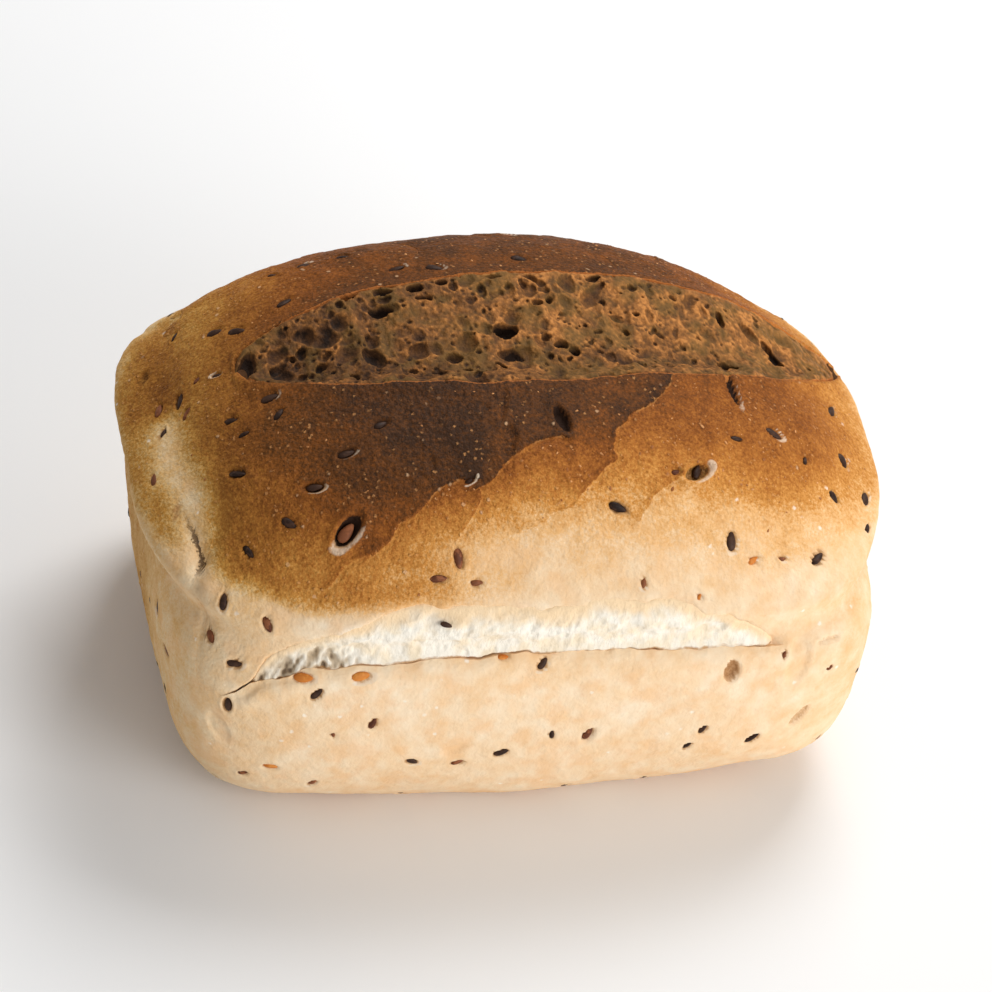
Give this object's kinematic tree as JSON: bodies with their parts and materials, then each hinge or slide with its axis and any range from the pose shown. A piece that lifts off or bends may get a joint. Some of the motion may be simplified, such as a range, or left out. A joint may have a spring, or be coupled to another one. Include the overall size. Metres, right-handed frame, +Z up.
{
  "type": "multigrain loaf",
  "caption": "Farmhouse loaf of multigrain bread, baked in a tin, split along its domed top and torn along the rim, with whole flax seeds in its crust.",
  "frame": {"origin": "middle of the bounding box, on the flat baked base", "axes": "+Z up, +X along the loaf, -Y towards the long side with the widest torn seam"},
  "size_m": [0.197, 0.1394, 0.11],
  "materials": {
    "crust": "matt baked crust, from cream at the seam to dark brown on top"
  },
  "bodies": {
    "root": {"loaf": "crust"}
  },
  "joints": []
}
